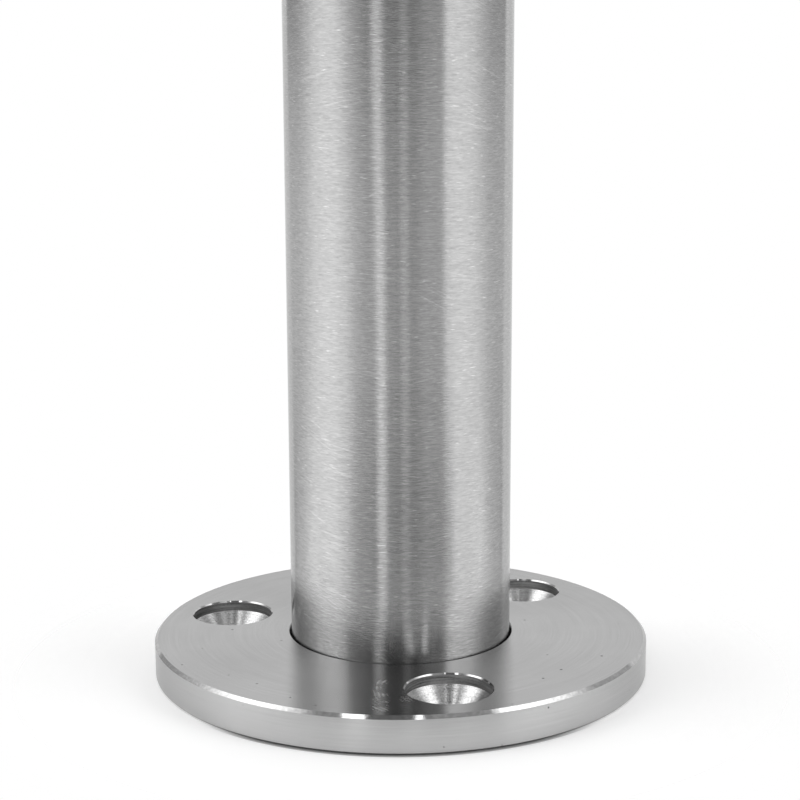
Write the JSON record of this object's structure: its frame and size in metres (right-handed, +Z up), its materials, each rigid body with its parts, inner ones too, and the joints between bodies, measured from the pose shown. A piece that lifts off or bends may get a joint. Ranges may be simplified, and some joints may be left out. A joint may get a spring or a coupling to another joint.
{
  "type": "railing end post",
  "caption": "Round steel tube post welded into a turned disc base plate with countersunk floor screw holes, closed by a flat push-in cap.",
  "frame": {"origin": "centre of the base plate's underside, on the tube's axis", "axes": "+Z runs up the tube; one screw hole lies towards -Y, slightly to +X, and the other two lie to the back on either side"},
  "size_m": [0.095, 0.095, 1],
  "materials": {
    "turned_steel": "fine turned, satin",
    "brushed_tube": "brushed round the tube, satin",
    "weld_metal": "as welded, rippled",
    "cap_steel": "fine turned, satin"
  },
  "bodies": {
    "root": {"base_plate": "turned_steel", "post_tube": "brushed_tube", "weld_seam": "weld_metal", "end_cap": "cap_steel"}
  },
  "joints": []
}
